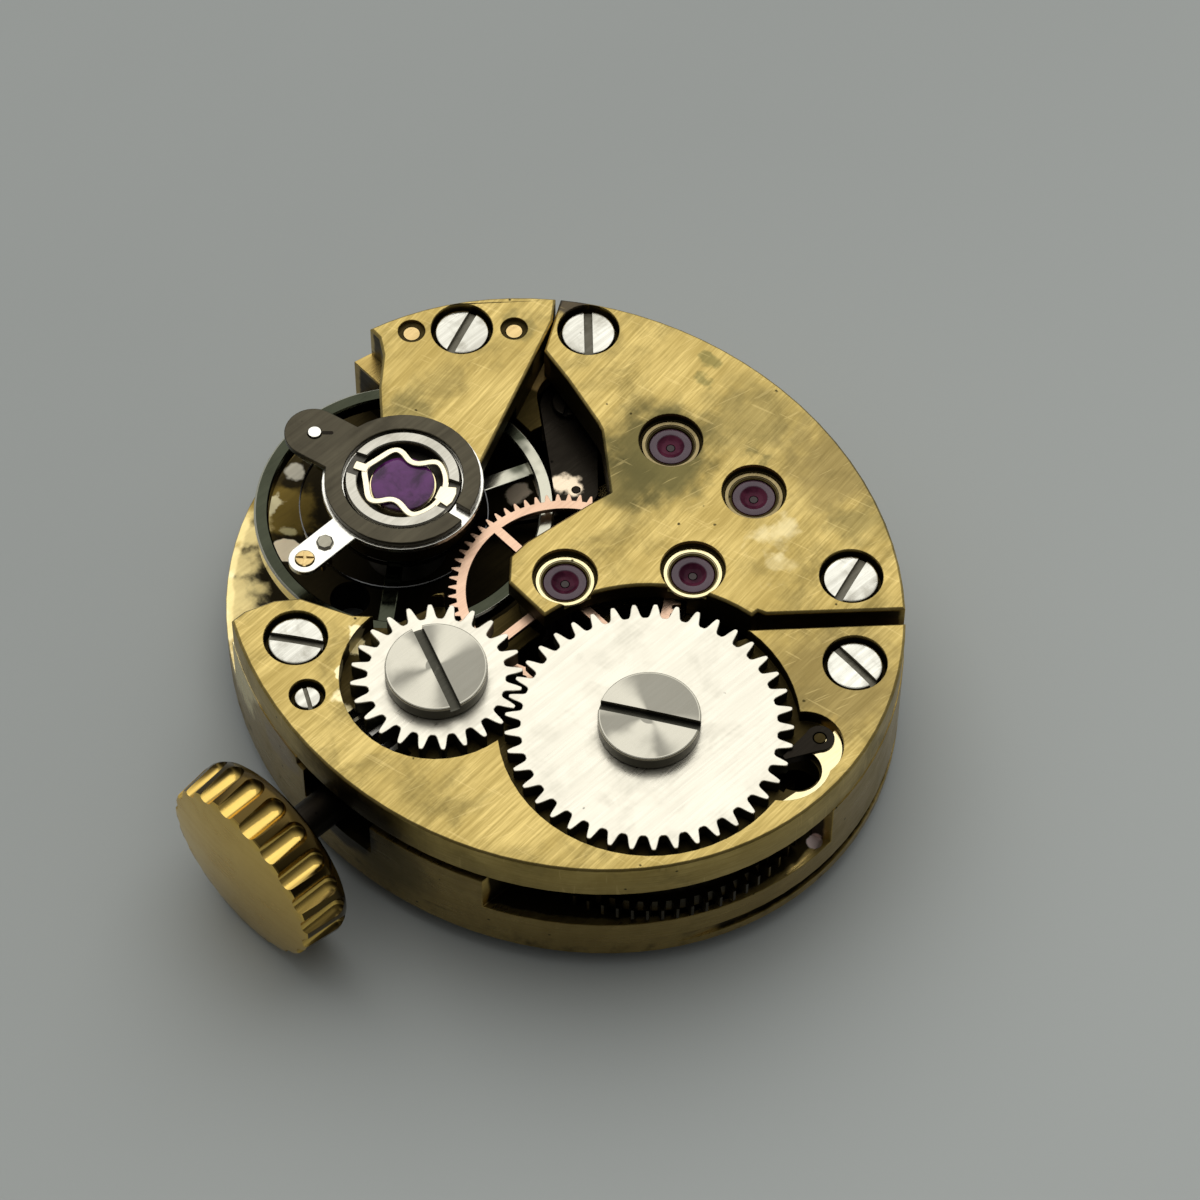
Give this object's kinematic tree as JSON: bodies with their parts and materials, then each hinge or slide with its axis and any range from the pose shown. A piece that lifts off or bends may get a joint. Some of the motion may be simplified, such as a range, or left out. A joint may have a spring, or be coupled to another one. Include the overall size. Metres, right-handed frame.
{
  "type": "mechanical watch movement",
  "caption": "Small oval hand-wound watch movement with brass bridges, jewelled wheel train, balance with regulator, winding wheels, stem and fluted crown.",
  "frame": {"origin": "on the centre arbor's axis at the dial face of the main plate", "axes": "+Z from the dial face to the bridges, -X along the stem to the crown, +Y towards the balance"},
  "size_m": [0.0156, 0.015, 0.0042],
  "materials": {
    "brushed_brass": "finely brushed",
    "bare_brass": "machined",
    "rose_gold": "polished",
    "bright_steel": "fine satin",
    "polished_steel": "mirror polished",
    "grey_steel": "satin",
    "dark_steel": "dull",
    "ruby": "polished stone",
    "crown_gold": "polished",
    "spring_steel": "polished"
  },
  "bodies": {
    "plate": {"main_plate": "brushed_brass", "barrel_bridge": "brushed_brass", "train_bridge": "brushed_brass", "balance_cock": "brushed_brass", "pallet_bridge": "bare_brass", "bridge_screws": "polished_steel", "setting_lever_screw": "polished_steel", "pallet_bridge_screw": "polished_steel", "steady_pins": "bare_brass", "upper_jewels": "ruby", "lower_jewels": "ruby", "shock_blocks": "grey_steel", "shock_settings": "bare_brass", "cap_jewels": "ruby", "shock_springs": "crown_gold", "crown_wheel_seat": "grey_steel", "crown_wheel_screw": "polished_steel", "click_spring": "spring_steel", "yoke_spring": "spring_steel", "keyless_cover": "grey_steel", "keyless_screws": "grey_steel"},
    "balance": {"balance_wheel": "bare_brass", "balance_staff": "grey_steel", "roller": "grey_steel", "impulse_jewel": "ruby", "collet": "bare_brass", "hairspring": "spring_steel"},
    "lever": {"pallet_fork": "grey_steel", "pallet_stones": "ruby", "pallet_arbor": "grey_steel"},
    "escape": {"escape_wheel": "bare_brass", "escape_pinion": "grey_steel"},
    "fourth": {"fourth_wheel": "bare_brass", "fourth_pinion": "grey_steel"},
    "third": {"third_wheel": "bare_brass", "third_pinion": "grey_steel"},
    "centre": {"centre_wheel": "rose_gold", "centre_pinion": "grey_steel", "cannon_pinion": "grey_steel"},
    "minute": {"minute_wheel": "bare_brass"},
    "hour": {"hour_wheel": "bare_brass"},
    "setting": {"setting_wheel": "grey_steel"},
    "barrel": {"barrel_drum": "bare_brass", "barrel_lid": "bare_brass", "mainspring": "spring_steel"},
    "ratchet": {"barrel_arbor": "grey_steel", "ratchet_wheel": "bright_steel", "ratchet_screw": "polished_steel"},
    "crown_wheel_body": {"crown_wheel": "bright_steel"},
    "winding": {"winding_pinion": "grey_steel"},
    "stem_and_crown": {"stem": "grey_steel", "crown": "crown_gold"},
    "clutch": {"sliding_pinion": "grey_steel"},
    "setting_lever_body": {"setting_lever": "grey_steel"},
    "yoke_body": {"yoke": "grey_steel"},
    "click_body": {"click": "bare_brass"},
    "regulator_body": {"regulator": "bright_steel", "regulator_pins": "bare_brass"},
    "stud_carrier_body": {"stud_carrier": "dark_steel", "hairspring_stud": "grey_steel"}
  },
  "joints": [
    {"name": "fourth_turn", "type": "hinge", "parent": "plate", "child": "fourth", "pos_m": [0.0043, -0.00113, 0], "axis": [0, 0, 1], "continuous": true},
    {"name": "third_turn", "type": "hinge", "parent": "plate", "child": "third", "pos_m": [0.00205, -0.00165, 0], "axis": [0, 0, 1], "continuous": true},
    {"name": "centre_turn", "type": "hinge", "parent": "plate", "child": "centre", "pos_m": [0, 0, 0], "axis": [0, 0, 1], "continuous": true},
    {"name": "barrel_turn", "type": "hinge", "parent": "plate", "child": "barrel", "pos_m": [-0.00121, -0.00378, 0], "axis": [0, 0, 1], "continuous": true},
    {"name": "escape_turn", "type": "hinge", "parent": "plate", "child": "escape", "pos_m": [0.00394, 0.00099, 0], "axis": [0, 0, 1], "continuous": true},
    {"name": "minute_turn", "type": "hinge", "parent": "plate", "child": "minute", "pos_m": [-0.00103, -0.00116, 0], "axis": [0, 0, 1], "continuous": true},
    {"name": "hour_turn", "type": "hinge", "parent": "plate", "child": "hour", "pos_m": [0, 0, 0], "axis": [0, 0, 1], "continuous": true},
    {"name": "setting_turn", "type": "hinge", "parent": "plate", "child": "setting", "pos_m": [-0.00251, -0.00009, 0], "axis": [0, 0, 1], "continuous": true},
    {"name": "crown_turn", "type": "hinge", "parent": "plate", "child": "winding", "pos_m": [0, 0, 0.0016], "axis": [1, 0, 0], "continuous": true},
    {"name": "crown_wheel_turn", "type": "hinge", "parent": "plate", "child": "crown_wheel_body", "pos_m": [-0.00355, 0, 0], "axis": [0, 0, 1], "continuous": true},
    {"name": "ratchet_turn", "type": "hinge", "parent": "plate", "child": "ratchet", "pos_m": [-0.00121, -0.00378, 0], "axis": [0, 0, 1], "continuous": true},
    {"name": "stem_pull", "type": "slide", "parent": "winding", "child": "stem_and_crown", "axis": [-1, 0, 0], "range_m": [0, 0.0004]},
    {"name": "clutch_shift", "type": "slide", "parent": "winding", "child": "clutch", "axis": [1, 0, 0], "range_m": [0, 0.00029]},
    {"name": "setting_lever_turn", "type": "hinge", "parent": "plate", "child": "setting_lever_body", "pos_m": [-0.00576, 0.00145, 0], "axis": [0, 0, 1], "range_deg": [-15.84, 0]},
    {"name": "yoke_turn", "type": "hinge", "parent": "plate", "child": "yoke_body", "pos_m": [-0.00401, -0.0015, 0], "axis": [0, 0, 1], "range_deg": [-11.09, 0]},
    {"name": "balance_swing", "type": "hinge", "parent": "plate", "child": "balance", "pos_m": [-0.00092, 0.00394, 0], "axis": [0, 0, 1], "range_deg": [-270, 270], "deforming": ["hairspring"]},
    {"name": "lever_swing", "type": "hinge", "parent": "plate", "child": "lever", "pos_m": [0.00221, 0.00204, 0], "axis": [0, 0, 1], "range_deg": [-5, 5]},
    {"name": "click_turn", "type": "hinge", "parent": "plate", "child": "click_body", "pos_m": [0.00112, -0.0063, 0], "axis": [0, 0, 1], "range_deg": [-12, 0]},
    {"name": "regulator_shift", "type": "hinge", "parent": "plate", "child": "regulator_body", "pos_m": [-0.00092, 0.00394, 0], "axis": [0, 0, 1], "range_deg": [-12, 12], "deforming": ["hairspring"]},
    {"name": "stud_carrier_shift", "type": "hinge", "parent": "plate", "child": "stud_carrier_body", "pos_m": [-0.00092, 0.00394, 0], "axis": [0, 0, 1], "range_deg": [-6, 6], "deforming": ["hairspring"]}
  ],
  "couplings": [
    {"joint": "third_turn", "follows": "fourth_turn", "ratio": -0.13333},
    {"joint": "centre_turn", "follows": "fourth_turn", "ratio": 0.016667},
    {"joint": "barrel_turn", "follows": "fourth_turn", "ratio": -0.0033333},
    {"joint": "escape_turn", "follows": "fourth_turn", "ratio": -10},
    {"joint": "minute_turn", "follows": "fourth_turn", "ratio": -0.0055556},
    {"joint": "hour_turn", "follows": "fourth_turn", "ratio": 0.0013889},
    {"joint": "setting_turn", "follows": "fourth_turn", "ratio": 0.0098039},
    {"joint": "crown_wheel_turn", "follows": "crown_turn", "ratio": 0.66667},
    {"joint": "ratchet_turn", "follows": "crown_turn", "ratio": -0.39024},
    {"joint": "clutch_shift", "follows": "stem_pull", "ratio": 0.725},
    {"joint": "setting_lever_turn", "follows": "stem_pull", "rad_per_m": -690.85},
    {"joint": "yoke_turn", "follows": "stem_pull", "rad_per_m": -483.33},
    {"joint": "lever_swing", "follows": "balance_swing", "ratio": 0.018519}
  ]
}
